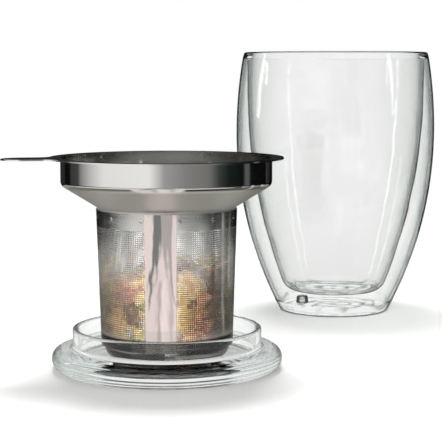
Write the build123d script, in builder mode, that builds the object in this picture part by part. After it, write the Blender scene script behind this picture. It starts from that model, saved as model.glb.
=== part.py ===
"""Tea-for-one set: a double-walled glass mug, its glass lid, and a steel infuser with its tea.

The mug stands on the floor at the origin. The lid lies upside down on the floor beside it, as a
saucer, and the infuser stands in the lid, on the glass inside the lid's collar.
Millimetres, +Z up, origin at the centre of the mug's foot.
"""
from build123d import *
from math import atan2, cos, degrees, radians, sin, sqrt
import os

# ---- where the lid and the infuser stand, measured from the mug's axis ----
saucer_x = -73.0
saucer_y = -135.0

# ---- clearances ----
mouth_clearance = 0.3        # radial, infuser collar in the mug's mouth
lid_clearance = 1.8          # radial, the foot of the lid's collar in the infuser's collar
tea_clearance = 0.5          # radial, tea in the basket
seam_clearance = 0.1         # weld film between the screen and its lapped edge

# ---- mug ----
glass_height = 119.5
foot_radius = 25.0
belly_height = 83.0
belly_bulge = 3.3            # the belly stands out past the rim
outer_wall = 1.3
foot_thickness = 2.2
foot_corner = 2.2            # rounding under the foot's edge
rim_wall = 1.7               # outside the inner wall, where the two walls are one
rim_fuse_height = 3.6        # the two walls are one below the rim for this far
rim_round = 1.0
liner_wall = 1.1
mouth_depth = 15.5           # the inner wall is a plain cylinder this far down
liner_heel_height = 12.5
liner_heel_gap = 6.0         # between the two walls at that height
liner_lift = 7.0             # gap between the foot and the inner wall's bottom
liner_corner = 7.5
vent_radius = 2.9
vent_height = 3.6
vent_round = 2.3
vent_offset_x = -14.5
vent_offset_y = 4.0

# ---- infuser ----
collar_radius = 39.2
sheet = 0.5                  # steel of the flange and the funnel
flange_overhang = 1.2        # past the mug's rim
collar_height = 9.6
collar_bend = 2.6
funnel_drop = 8.2            # height of the cone below the collar
neck_bend = 0.8
neck_lap = 5.0               # the neck reaches this far down inside the screen
screen_sheet = 0.25
screen_top_radius = 26.2
screen_taper = 1.6           # radius lost from the top to the bottom
screen_height = 50.0
foot_cup_height = 5.2        # cup that shows below the screen
foot_cup_step = 1.3          # the cup is set in this far from the screen's outside
foot_cup_sheet = 0.4
foot_cup_corner = 4.2
foot_cup_lap = 3.4           # the cup reaches this far up inside the screen
foot_cup_joggle = 0.9        # height over which the cup steps out to the screen
foot_cup_bend = 0.3
seam_width = 11.5
seam_angle = -93.0           # round the axis, from +X
tab_angle = 192.0
tab_length = 17.5            # past the flange
tab_width = 15.0
tab_root_fillet = 5.0
weld_count = 12
weld_radius = 0.8
weld_proud = 0.12
weld_drop = 2.4              # below the screen's top edge

# ---- lid, as it lies: the collar points up ----
lid_overhang = 0.8           # past the mug's rim
lid_widest_height = 4.5
lid_shoulder_inset = 3.3
lid_shoulder_height = 8.0
lid_top_rise = 0.4           # from the shoulder in to the flare
lid_foot_flare = 1.6         # the glass flares out round the collar's foot
lid_collar_rise = 5.7        # above the flare
lid_collar_wall = 2.0
lid_collar_round = 0.9
lid_floor = 4.8              # glass under the dish
lid_dish_corner = 2.4

# ---- tea ----
tea_gap_below = 0.6
tea_depth = 31.2             # at the axis
tea_slope = 8.0              # degrees, higher towards +X

# ---- worked out from the sizes above ----
liner_radius = collar_radius + mouth_clearance + liner_wall
liner_straight_height = glass_height - mouth_depth
liner_bottom = foot_thickness + liner_lift
rim_radius = liner_radius + rim_wall
belly_radius = rim_radius + belly_bulge
flange_radius = rim_radius + flange_overhang
tab_reach = flange_radius + tab_length
screen_bottom_radius = screen_top_radius - screen_taper
screen_foot = lid_floor + foot_cup_height
screen_head = screen_foot + screen_height
collar_foot = screen_head + neck_bend + funnel_drop
flange_height = collar_foot + collar_height
foot_cup_radius = screen_bottom_radius - foot_cup_step
lid_radius = rim_radius + lid_overhang
lid_flat_radius = lid_radius - lid_widest_height
lid_shoulder_radius = lid_radius - lid_shoulder_inset
lid_foot_height = lid_shoulder_height + lid_top_rise + lid_foot_flare
lid_collar_radius = collar_radius - sheet - lid_clearance - lid_foot_flare
lid_collar_top = lid_foot_height + lid_collar_rise
saucer_axis = Axis((saucer_x, saucer_y, 0), (0, 0, 1))
saucer_plane = Plane(origin=(saucer_x, saucer_y, 0), x_dir=(1, 0, 0), z_dir=(0, -1, 0))


def screen_inner_radius(height):
    """Inside radius of the tapered screen at a height above the floor."""
    share = (height - screen_foot) / screen_height
    radius = screen_bottom_radius + (screen_top_radius - screen_bottom_radius) * share
    return radius - screen_sheet


def bulge_radius(drop, rise):
    """Radius of an arc that leaves upright and falls away by drop over rise."""
    return (rise ** 2 + drop ** 2) / (2 * drop)


def outer_wall_radius(height, inset):
    """Radius of the mug's outer wall, less inset, at a height: two arcs that meet at the belly."""
    if height > belly_height:
        arc = bulge_radius(belly_radius - rim_radius, glass_height - belly_height)
    else:
        arc = bulge_radius(belly_radius - foot_radius, belly_height)
    return belly_radius - arc + sqrt((arc - inset) ** 2 - (height - belly_height) ** 2)


def liner_section(inset):
    """Half section of the inner vessel, shrunk by inset, closed on the axis."""
    straight = liner_radius - inset
    heel_radius = outer_wall_radius(liner_heel_height, outer_wall) - liner_heel_gap
    arc = bulge_radius(liner_radius - heel_radius, liner_straight_height - liner_heel_height)
    bottom = liner_bottom + inset
    heel = liner_radius - arc + sqrt((arc - inset) ** 2 - (bottom - liner_straight_height) ** 2)
    with BuildSketch(Plane.XZ) as section:
        with BuildLine():
            side = Line((0, glass_height), (straight, glass_height))
            wall = Line(side @ 1, (straight, liner_straight_height))
            curve = TangentArc(wall @ 1, (heel, bottom), tangent=(0, -1))
            Polyline(curve @ 1, (0, bottom), (0, glass_height))
        make_face()
        fillet(section.vertices().sort_by_distance((heel, bottom))[0], liner_corner - inset)
    return section.sketch


os.makedirs("parts", exist_ok=True)

# ---------------------------------------------------------------- mug ----
# Outer wall: blown glass, a low barrel on a flat foot, with the solid ring under the rim.
fuse_foot = glass_height - rim_fuse_height
with BuildPart() as outer_glass:
    with BuildSketch(Plane.XZ) as outer_section:
        with BuildLine():
            foot = Line((0, 0), (foot_radius, 0))
            TangentArc((belly_radius, belly_height), foot @ 1, tangent=(0, -1))
            high = TangentArc((belly_radius, belly_height), (rim_radius, glass_height), tangent=(0, 1))
            rim = Polyline(high @ 1, (liner_radius, glass_height), (liner_radius, fuse_foot))
            crotch = Line(rim @ 1, (outer_wall_radius(fuse_foot, outer_wall), fuse_foot))
            inner_belly = (belly_radius - outer_wall, belly_height)
            TangentArc(inner_belly, crotch @ 1, tangent=(0, 1))
            floor_edge = (outer_wall_radius(foot_thickness, outer_wall), foot_thickness)
            TangentArc(inner_belly, floor_edge, tangent=(0, -1))
            Polyline(floor_edge, (0, foot_thickness), (0, 0))
        make_face()
        fillet(outer_section.vertices().sort_by_distance((foot_radius, 0))[0], foot_corner)
        fillet(outer_section.vertices().sort_by_distance((rim_radius, glass_height))[0], rim_round)
    revolve(axis=Axis.Z)
outer_glass.part.label = "outer_glass"

# Inner wall: a deep cup that hangs from the rim and keeps clear of the outer wall below it.
with BuildPart() as inner_glass:
    revolve(liner_section(0), axis=Axis.Z)
    revolve(liner_section(liner_wall), axis=Axis.Z, mode=Mode.SUBTRACT)
    mouth_edges = inner_glass.edges().filter_by(GeomType.CIRCLE).group_by(Axis.Z)[-1]
    fillet(mouth_edges.sort_by(SortBy.RADIUS)[0], liner_wall / 2)
inner_glass.part.label = "inner_glass"

# Vent seal: the drop of glass that closes the hole the gap was vented through.
with BuildPart() as vent_seal:
    with BuildSketch(Plane.XY.offset(foot_thickness)):
        with Locations((vent_offset_x, vent_offset_y)):
            Circle(vent_radius)
    extrude(amount=vent_height)
    fillet(vent_seal.edges().group_by(Axis.Z)[-1], vent_round)
vent_seal.part.label = "vent_seal"

# ---------------------------------------------------------------- lid ----
# Disc: pressed glass with a fat round edge, and a pocket for the collar.
with BuildPart() as lid_disc:
    with BuildSketch(saucer_plane):
        with BuildLine():
            base = Line((0, 0), (lid_flat_radius, 0))
            TangentArc((lid_radius, lid_widest_height), base @ 1, tangent=(0, -1))
            shoulder_end = (lid_shoulder_radius, lid_shoulder_height)
            TangentArc((lid_radius, lid_widest_height), shoulder_end, tangent=(0, 1))
            flare_start = (lid_collar_radius + lid_foot_flare, lid_foot_height - lid_foot_flare)
            Line(shoulder_end, flare_start)
            flare_end = (lid_collar_radius, lid_foot_height)
            TangentArc(flare_end, flare_start, tangent=(0, -1))
            Polyline(flare_end, (lid_collar_radius, lid_floor), (0, lid_floor), (0, 0))
        make_face()
    revolve(axis=saucer_axis)
lid_disc.part.label = "lid_disc"

# Collar: a ring of tube fused into the pocket, rounded into the dish at its foot.
lid_bore = lid_collar_radius - lid_collar_wall
with BuildPart() as lid_collar:
    with BuildSketch(saucer_plane) as collar_section:
        with BuildLine():
            dish_start = (lid_bore, lid_floor + lid_dish_corner)
            dish_end = (lid_bore - lid_dish_corner, lid_floor)
            TangentArc(dish_start, dish_end, tangent=(0, -1))
            Polyline(
                dish_end,
                (lid_collar_radius, lid_floor),
                (lid_collar_radius, lid_collar_top),
                (lid_bore, lid_collar_top),
                dish_start,
            )
        make_face()
        tops = collar_section.vertices().group_by(Axis.Y)[-1]
        fillet(tops, lid_collar_round)
    revolve(axis=saucer_axis)
lid_collar.part.label = "lid_collar"

# ------------------------------------------------------------ infuser ----
# Funnel: one drawn sheet, a collar that drops into the mug, a cone, and a neck in the screen.
neck_top = screen_head + neck_bend
neck_foot = screen_head - neck_lap
neck_radius = screen_inner_radius(screen_head)
with BuildPart() as funnel:
    with BuildSketch(saucer_plane):
        with BuildLine():
            skin = FilletPolyline(
                (collar_radius, flange_height),
                (collar_radius, collar_foot),
                (neck_radius, neck_top),
                (screen_inner_radius(neck_foot), neck_foot),
                radius=[collar_bend, neck_bend],
            )
            offset(skin, amount=sheet, side=Side.RIGHT)
        make_face()
    revolve(axis=saucer_axis)
funnel.part.label = "funnel"

# Flange: a flat ring welded on the collar's top edge, with a long tab to lift it by.
with BuildPart() as rim_flange:
    with BuildSketch(Plane((saucer_x, saucer_y, flange_height))) as flange_outline:
        Circle(flange_radius)
        tab_centre = tab_reach - tab_width / 2
        with Locations(Location((0, 0, 0), (0, 0, tab_angle))):
            with Locations((tab_centre / 2, 0)):
                Rectangle(tab_centre, tab_width)
            with Locations((tab_centre, 0)):
                Circle(tab_width / 2)
        root_distance = sqrt(flange_radius ** 2 - (tab_width / 2) ** 2)
        for side in (-1, 1):
            turn = radians(tab_angle) + side * atan2(tab_width / 2, root_distance)
            root = (flange_radius * cos(turn), flange_radius * sin(turn))
            fillet(flange_outline.vertices().sort_by_distance(root)[0], tab_root_fillet)
        Circle(collar_radius - sheet, mode=Mode.SUBTRACT)
    extrude(amount=sheet)
rim_flange.part.label = "rim_flange"

# Screen: etched sheet rolled into a slightly tapered tube, drawn here without its fine holes.
with BuildPart() as basket_screen:
    with BuildSketch(saucer_plane):
        with BuildLine():
            Polyline(
                (screen_inner_radius(screen_foot), screen_foot),
                (screen_bottom_radius, screen_foot),
                (screen_top_radius, screen_head),
                (screen_inner_radius(screen_head), screen_head),
                close=True,
            )
        make_face()
    revolve(axis=saucer_axis)
basket_screen.part.label = "basket_screen"

# Seam: the plain edge of the rolled sheet, lapped over the outside of the screen.
seam_turn = degrees(seam_width / screen_top_radius)
seam_start = radians(seam_angle - seam_turn / 2)
seam_plane = Plane(
    origin=(saucer_x, saucer_y, 0),
    x_dir=(cos(seam_start), sin(seam_start), 0),
    z_dir=(sin(seam_start), -cos(seam_start), 0),
)
with BuildPart() as seam_lap:
    with BuildSketch(seam_plane):
        with BuildLine():
            Polyline(
                (screen_bottom_radius + seam_clearance, screen_foot),
                (screen_bottom_radius + seam_clearance + screen_sheet, screen_foot),
                (screen_top_radius + seam_clearance + screen_sheet, screen_head),
                (screen_top_radius + seam_clearance, screen_head),
                close=True,
            )
        make_face()
    revolve(axis=saucer_axis, revolution_arc=seam_turn)
seam_lap.part.label = "seam_lap"

# Foot cup: a drawn cup, stepped out above the corner so that it fits inside the screen.
cup_lap_foot = screen_foot + foot_cup_joggle
cup_top = cup_lap_foot + foot_cup_lap
with BuildPart() as foot_cup:
    with BuildSketch(saucer_plane):
        with BuildLine():
            cup_skin = FilletPolyline(
                (0, lid_floor),
                (foot_cup_radius, lid_floor),
                (foot_cup_radius, screen_foot),
                (screen_inner_radius(cup_lap_foot), cup_lap_foot),
                (screen_inner_radius(cup_top), cup_top),
                radius=[foot_cup_corner, foot_cup_bend, foot_cup_bend],
            )
            offset(cup_skin, amount=foot_cup_sheet, side=Side.LEFT)
        make_face()
    revolve(axis=saucer_axis)
foot_cup.part.label = "foot_cup"

# Spot welds: nuggets through the screen and the neck, a little proud outside.
weld_height = screen_head - weld_drop
weld_reach = screen_inner_radius(weld_height) + screen_sheet + weld_proud
with BuildPart() as spot_welds:
    for index in range(weld_count):
        turn = radians(seam_angle + (index + 0.5) * 360 / weld_count)
        outward = (cos(turn), sin(turn), 0)
        tip = (saucer_x + weld_reach * cos(turn), saucer_y + weld_reach * sin(turn), weld_height)
        with BuildSketch(Plane(origin=tip, z_dir=outward)):
            Circle(weld_radius)
        extrude(amount=-(weld_proud + screen_sheet + sheet / 2))
spot_welds.part.label = "spot_welds"

# ---------------------------------------------------------------- tea ----
# Dry leaves: one loose mass that stands on the cup and leans up to one side.
tea_bottom = lid_floor + foot_cup_sheet + tea_gap_below
tea_foot_radius = foot_cup_radius - foot_cup_sheet - tea_clearance
tea_step = cup_top + tea_gap_below
tea_height = tea_bottom + tea_depth
tea_top = tea_height + flange_radius * sin(radians(tea_slope))
with BuildPart() as tea_leaves:
    with BuildSketch(saucer_plane) as tea_section:
        with BuildLine():
            Polyline(
                (0, tea_bottom),
                (tea_foot_radius, tea_bottom),
                (tea_foot_radius, tea_step),
                (screen_inner_radius(tea_step) - tea_clearance, tea_step),
                (screen_inner_radius(tea_top) - tea_clearance, tea_top),
                (0, tea_top),
                close=True,
            )
        make_face()
        tea_foot = tea_section.vertices().sort_by_distance((tea_foot_radius, tea_bottom))[0]
        fillet(tea_foot, foot_cup_corner)
    revolve(axis=saucer_axis)
    slope = radians(tea_slope)
    split(bisect_by=Plane(origin=(saucer_x, saucer_y, tea_height), z_dir=(-sin(slope), 0, cos(slope))),
          keep=Keep.BOTTOM)
tea_leaves.part.label = "tea_leaves"

for piece in (outer_glass, inner_glass, vent_seal, lid_disc, lid_collar, funnel, rim_flange,
              basket_screen, seam_lap, foot_cup, spot_welds, tea_leaves):
    export_step(piece.part, f"parts/{piece.part.label}.step")
    print(piece.part.label, round(piece.part.volume, 1), "mm3")
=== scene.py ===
"""Looks of a tea set: a double-walled glass mug, a steel infuser full of tea, and its glass lid as a saucer.

All is in metres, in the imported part's frame. MM turns the sizes given in millimetres into metres.
"""

import random
from math import cos, degrees, pi, radians, sin, sqrt, tan

import bmesh
import bpy
from mathutils import Matrix, Vector, noise

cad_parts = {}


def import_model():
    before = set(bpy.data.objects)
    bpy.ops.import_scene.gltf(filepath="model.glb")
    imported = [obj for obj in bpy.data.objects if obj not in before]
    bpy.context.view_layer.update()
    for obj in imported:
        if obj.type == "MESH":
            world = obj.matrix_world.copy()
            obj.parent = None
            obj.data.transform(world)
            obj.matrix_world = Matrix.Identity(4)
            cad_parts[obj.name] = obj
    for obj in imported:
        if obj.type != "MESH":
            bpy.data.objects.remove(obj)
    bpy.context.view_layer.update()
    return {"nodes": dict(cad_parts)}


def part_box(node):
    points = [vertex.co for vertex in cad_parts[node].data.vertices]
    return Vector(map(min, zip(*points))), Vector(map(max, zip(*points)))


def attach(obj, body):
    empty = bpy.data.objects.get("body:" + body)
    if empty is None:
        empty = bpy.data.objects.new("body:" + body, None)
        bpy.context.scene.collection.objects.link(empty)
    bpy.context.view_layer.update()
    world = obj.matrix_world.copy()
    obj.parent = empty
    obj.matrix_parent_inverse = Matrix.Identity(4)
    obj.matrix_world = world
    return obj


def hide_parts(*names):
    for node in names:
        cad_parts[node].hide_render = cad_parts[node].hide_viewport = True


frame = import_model()

MM = 0.001

# ---------------------------------------------------------------- sizes ----
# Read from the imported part, in mm. The mug stands on the origin, the lid and the infuser on their own axis.
outer_low, outer_high = (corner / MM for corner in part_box("outer_glass"))
liner_low, liner_high = (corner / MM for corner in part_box("inner_glass"))
disc_low, disc_high = (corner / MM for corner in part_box("lid_disc"))
ring_low, ring_high = (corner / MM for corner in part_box("lid_collar"))
funnel_low, funnel_high = (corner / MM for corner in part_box("funnel"))
screen_low, screen_high = (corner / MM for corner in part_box("basket_screen"))
cup_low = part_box("foot_cup")[0] / MM
welds_low, welds_high = (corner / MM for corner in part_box("spot_welds"))
tea_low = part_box("tea_leaves")[0] / MM

MUG_AXIS = Vector((0.0, 0.0, 0.0))
TEA_AXIS = Vector(((disc_low.x + disc_high.x) / 2, (disc_low.y + disc_high.y) / 2, 0.0))

# Mug
MUG_HEIGHT = outer_high.z
BELLY_RADIUS = (outer_high.x - outer_low.x) / 2
BELLY_HEIGHT = 83.0
RIM_RADIUS = 42.3
FOOT_RADIUS = 25.0
FOOT_CORNER = 2.2
FOOT_THICKNESS = 2.2
OUTER_WALL = 1.3
FUSE_HEIGHT = 3.6              # the two walls are one below the rim for this far
RIM_HEIGHT = 2.0               # the rim's rounding is done this far below it
LINER_TOP = 6.0                # the inner wall is drawn from this far below the rim
GAP_FOOT = 6.0                 # and the outer wall's inner face from this far above the foot
LINER_RADIUS = (liner_high.x - liner_low.x) / 2
LINER_WALL = 1.1
LINER_STRAIGHT = 104.0         # above this the inner wall is a plain cylinder
LINER_HEEL_RADIUS = 23.6
LINER_HEEL_HEIGHT = 12.5
LINER_CORNER = 7.5

# Lid
LID_RADIUS = (disc_high.x - disc_low.x) / 2
LID_WIDEST = 4.5
LID_SHOULDER_INSET = 3.3
LID_SHOULDER_HEIGHT = 8.0
LID_FLARE = 1.6
COLLAR_RADIUS = (ring_high.x - ring_low.x) / 2
COLLAR_WALL = 2.0
COLLAR_ROUND = 0.9
DISH_CORNER = 2.4

# Infuser
SHEET = 0.5
FUNNEL_RADIUS = (funnel_high.x - funnel_low.x) / 2
COLLAR_FOOT = 69.0
COLLAR_BEND = 2.6
NECK_BEND = 0.8
SCREEN_TOP = (screen_high.x - screen_low.x) / 2
SCREEN_TAPER = 1.6
SCREEN_SHEET = 0.25
BAND = 6.0                     # plain steel along the screen's top edge
HEM = 0.9                      # and along its lower edge
SHADED_BELOW = screen_low.z + 4.2   # below this, the screen and the seam are painted darker, as painted shade
HOLE_PITCH = 0.75              # of the etched square holes, both ways
HOOP = 0.25                    # steel left between two rows of holes
SEAM_WIDTH = 11.5
SEAM_ANGLE = -93.0             # round the axis, from +X
CUP_RADIUS = 23.3
CUP_CORNER = 4.2
CUP_SHEET = 0.4
CUP_BEND = 0.3
CUP_JOGGLE = 0.9
CUP_LAP = 1.7                  # how far its edge reaches up inside the screen
WELDS = 12
WELD_RADIUS = 0.8

SPIN_STEPS = 144
SHADING_GUARD = 0.08           # from the end of an arc to the point that guards the straight run's shading


def screen_radius(height):
    """Outside radius of the tapered screen, in mm, at a height in mm."""
    share = (height - screen_low.z) / (screen_high.z - screen_low.z)
    return SCREEN_TOP - SCREEN_TAPER * (1 - share)


def arc_radius(drop, rise):
    """Radius of an arc that leaves upright and falls away by drop over rise."""
    return (rise ** 2 + drop ** 2) / (2 * drop)


def mug_radius(height, inset):
    """Radius of the mug's outer wall, less inset, at a height in mm: two arcs that meet at the belly."""
    if height > BELLY_HEIGHT:
        arc = arc_radius(BELLY_RADIUS - RIM_RADIUS, MUG_HEIGHT - BELLY_HEIGHT)
    else:
        arc = arc_radius(BELLY_RADIUS - FOOT_RADIUS, BELLY_HEIGHT)
    return BELLY_RADIUS - arc + sqrt((arc - inset) ** 2 - (height - BELLY_HEIGHT) ** 2)


def liner_radius(height, inset):
    """Radius of the inner wall, less inset, at a height in mm: a cylinder over one long arc."""
    if height > LINER_STRAIGHT:
        return LINER_RADIUS - inset
    arc = arc_radius(LINER_RADIUS - LINER_HEEL_RADIUS, LINER_STRAIGHT - LINER_HEEL_HEIGHT)
    return LINER_RADIUS - arc + sqrt((arc - inset) ** 2 - (height - LINER_STRAIGHT) ** 2)


# --------------------------------------------------------- material kit ----
INNER_FOOT = 5.0               # below this all that is met from inside the mug's glass counts as level
RIM_DEPTH = 0.7                # a thick rim's painted shade reaches this far down
BODY_DENSITY = 7.0             # of the colour inside thick glass, per metre
FOOT_SHADE_HEIGHTS = (0.75, 0.35)       # heights between which the painted shade line round the mug's foot fades in
SATIN = 0.36                   # roughness that brushing adds
HIGHLIGHT_PITCH = 2.2             # of the painted highlights round the cup


def linear(colour):
    """Linear RGBA of an sRGB hex colour."""
    channels = [int(colour[start:start + 2], 16) / 255 for start in (1, 3, 5)]
    return tuple(c / 12.92 if c <= 0.04045 else ((c + 0.055) / 1.055) ** 2.4 for c in channels) + (1.0,)


def add(tree, kind, sockets=(), stops=(), **settings):
    """Adds a shader node with its settings, a ramp's stops, and its sockets' values or links. A node given as
    a value stands for its first output. Sockets go by name, or by number where names repeat: a colour mix has
    its colours at 6 and 7 and its result at 2, and a shader mix has its shaders at 1 and 2."""
    made = tree.nodes.new("ShaderNode" + kind)
    for name, value in settings.items():
        setattr(made, name, value)
    for index, (place, colour) in enumerate(stops):
        ramp = made.color_ramp.elements
        stop = ramp[index] if index < 2 else ramp.new(place)
        stop.position = place
        stop.color = linear(colour)
    for name, value in dict(sockets).items():
        if isinstance(value, bpy.types.Node):
            value = value.outputs[0]
        if isinstance(value, bpy.types.NodeSocket):
            tree.links.new(value, made.inputs[name])
        else:
            made.inputs[name].default_value = value
    return made


def new_material(name):
    """An empty node material and its tree."""
    material = bpy.data.materials.new(name)
    material.use_nodes = True
    material.node_tree.nodes.clear()
    return material, material.node_tree


def mirror_ray(tree, path):
    """1 for a ray that a surface mirrors, but 0 once glass has bent it."""
    return add(tree, "Math", {0: path.outputs["Is Glossy Ray"], 1: path.outputs["Is Transmission Ray"]},
               operation="SUBTRACT", use_clamp=True)


def from_the_axis(tree):
    """A place as it lies from the infuser's axis, in metres."""
    place = add(tree, "TexCoord")
    return add(tree, "Mapping", {
        "Vector": place.outputs["Object"], "Location": (-TEA_AXIS.x * MM, -TEA_AXIS.y * MM, 0.0)})


def level_faces(tree, height, surface, level_from, floors):
    """1 on level faces and 0 on walls, as the upright part of their normal goes through level_from. With
    floors, faces met from inside the glass count as level sooner, and near the foot they all do."""
    lean = add(tree, "SeparateXYZ", {"Vector": surface.outputs["True Normal"]})
    upright = add(tree, "Math", {0: lean.outputs["Z"]}, operation="ABSOLUTE")
    level = add(tree, "MapRange", {"Value": upright, "From Min": level_from[0], "From Max": level_from[1]})
    if not floors:
        return level
    broad = add(tree, "MapRange", {"Value": upright, "From Min": 0.6, "From Max": 0.92})
    foot = add(tree, "Math", {0: height, 1: INNER_FOOT * MM}, operation="LESS_THAN")
    wide = add(tree, "Math", {0: broad, 1: foot}, operation="MAXIMUM")
    inner = add(tree, "Math", {0: wide, 1: surface.outputs["Backfacing"]}, operation="MULTIPLY")
    return add(tree, "Math", {0: level, 1: inner}, operation="MAXIMUM")


def straight_rays(tree, path, front, hidden_inside):
    """1 for rays that pass the glass unbent: a lamp's light, and what a surface mirrors of the glass. With
    hidden_inside, rays that glass has bent once pass too."""
    entered = add(tree, "Math", {0: path.outputs["Transparent Depth"], 1: 0.5}, operation="GREATER_THAN")
    either = add(tree, "Math", {0: front, 1: entered}, operation="MAXIMUM")
    past = add(tree, "Math", {0: mirror_ray(tree, path), 1: either}, operation="MULTIPLY")
    straight = add(tree, "Math", {0: past, 1: path.outputs["Is Shadow Ray"]}, operation="MAXIMUM")
    if not hidden_inside:
        return straight
    bent_once = add(tree, "Math", {0: path.outputs["Transmission Depth"], 1: 1.0, 2: 0.1},
                    operation="COMPARE")
    return add(tree, "Math", {0: straight, 1: bent_once}, operation="MAXIMUM")


def floor_colours(tree, place, level, shade, swirl):
    """What see-through floors keep: of what is seen through them all but faint rings, and of a lamp's light
    all, where the walls keep shade."""
    rings = add(tree, "TexWave", {
        "Vector": place, "Scale": 2 * pi / (20 * swirl * MM), "Distortion": 7.0,
        "Detail": 2.0, "Detail Scale": 1.6}, wave_type="RINGS", rings_direction="Z")
    streaks = add(tree, "ValToRGB", {"Fac": rings.outputs["Fac"]},
                  stops=((0.0, "#C4CAC7"), (0.6, "#FFFFFF"), (0.18, "#EEF0EF")))
    shades = add(tree, "Mix", {"Factor": level, 6: linear(shade), 7: linear("#FFFFFF")}, data_type="RGBA")
    return streaks, shades.outputs[2]


def painted_foot_shade(tree, glass, front, level, height):
    """Lays a dark line of painted shade over the outside of glass, just above the ground."""
    round_foot = add(tree, "Math", {0: front, 1: level}, operation="SUBTRACT", use_clamp=True)
    low = add(tree, "MapRange", {
        "Value": height, "From Min": FOOT_SHADE_HEIGHTS[0] * MM, "From Max": FOOT_SHADE_HEIGHTS[1] * MM, "To Max": 0.85})
    line = add(tree, "Math", {0: round_foot, 1: low}, operation="MULTIPLY")
    shade_layer = add(tree, "BsdfTransparent", {"Color": linear("#3C4240")})
    return add(tree, "MixShader", {"Fac": line, 1: glass, 2: shade_layer})


def clear_glass(name, stops, flat, shade, ripple, ripple_depth, level_from=(0.75, 0.98), rim=None,
                body=None, swirl=None, hidden_inside=False):
    """Clear borosilicate glass. stops are its tints from square on to edge on, painted shade where its
    upright walls are coloured darker as one looks along them, for the dark outlines of glass. Its level faces
    are tinted flat, and level_from is where they start and are whole. shade is what a lamp's light keeps
    through it, as a lens throws most of it elsewhere. A slow ripple from forming bends what shows behind it.
    rim is the height where a thick rim is painted darkest, a painted shade for light that runs round inside
    it. body is the colour that thick glass takes on inside. swirl makes level floors see-through, with faint
    rings at that spacing, and draws a dark line of painted shade round the foot. hidden_inside hides the
    glass from rays that other glass has bent once. What steel mirrors of the glass is plain, which keeps the
    steel's dark and light.
    Sizes in mm."""
    material, tree = new_material(name)
    place = add(tree, "TexCoord").outputs["Object"]
    height = add(tree, "SeparateXYZ", {"Vector": place}).outputs["Z"]
    surface = add(tree, "NewGeometry")
    path = add(tree, "LightPath")
    front = add(tree, "Math", {0: 1.0, 1: surface.outputs["Backfacing"]}, operation="SUBTRACT")
    level = level_faces(tree, height, surface, level_from, swirl)

    # Painted shade: the walls are coloured darker towards their edges, for the dark outlines of glass.
    facing = add(tree, "LayerWeight", {"Blend": 0.5})
    darkening = add(tree, "ValToRGB", {"Fac": facing.outputs["Facing"]}, stops=stops)
    tint_and_painted_shade = add(tree, "Mix", {"Factor": level, 6: darkening, 7: linear(flat)}, data_type="RGBA").outputs[2]
    # Painted shade: a thick rim is coloured darker near its top.
    if rim:
        up = add(tree, "MapRange", {
            "Value": height, "From Min": (rim - RIM_DEPTH) * MM, "From Max": rim * MM})
        painted_rim_shade = add(tree, "ValToRGB", {"Fac": up}, stops=((0.0, "#FFFFFF"), (1.0, "#59605D")))
        tint_and_painted_shade = add(tree, "Mix", {"Factor": 1.0, 6: tint_and_painted_shade, 7: painted_rim_shade},
                   data_type="RGBA", blend_type="MULTIPLY").outputs[2]
    waves = add(tree, "TexNoise", {"Vector": place, "Scale": 1 / (ripple * MM), "Detail": 1.0})
    bump = add(tree, "Bump", {"Height": waves, "Strength": 1.0, "Distance": ripple_depth * MM})
    glass = add(tree, "BsdfPrincipled", {
        "Base Color": tint_and_painted_shade, "Roughness": 0.0, "IOR": 1.47, "Transmission Weight": 1.0, "Normal": bump})

    straight = straight_rays(tree, path, front, hidden_inside)
    seen, lit = linear("#F8FAF9"), linear(shade)
    if swirl:
        straight = add(tree, "Math", {0: straight, 1: level}, operation="MAXIMUM")
        seen, lit = floor_colours(tree, place, level, shade, swirl)
    kept = add(tree, "Mix", {"Factor": path.outputs["Is Shadow Ray"], 6: seen, 7: lit}, data_type="RGBA")
    unbent = add(tree, "BsdfTransparent", {"Color": kept.outputs[2]})
    shown = add(tree, "MixShader", {"Fac": straight, 1: glass, 2: unbent})
    # Painted shade: a dark line round the foot.
    if swirl:
        shown = painted_foot_shade(tree, shown, front, level, height)
    parts = {"Surface": shown}
    if body:
        parts["Volume"] = add(tree, "VolumeAbsorption", {"Color": linear(body), "Density": BODY_DENSITY})
    add(tree, "OutputMaterial", parts)
    return material


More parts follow.
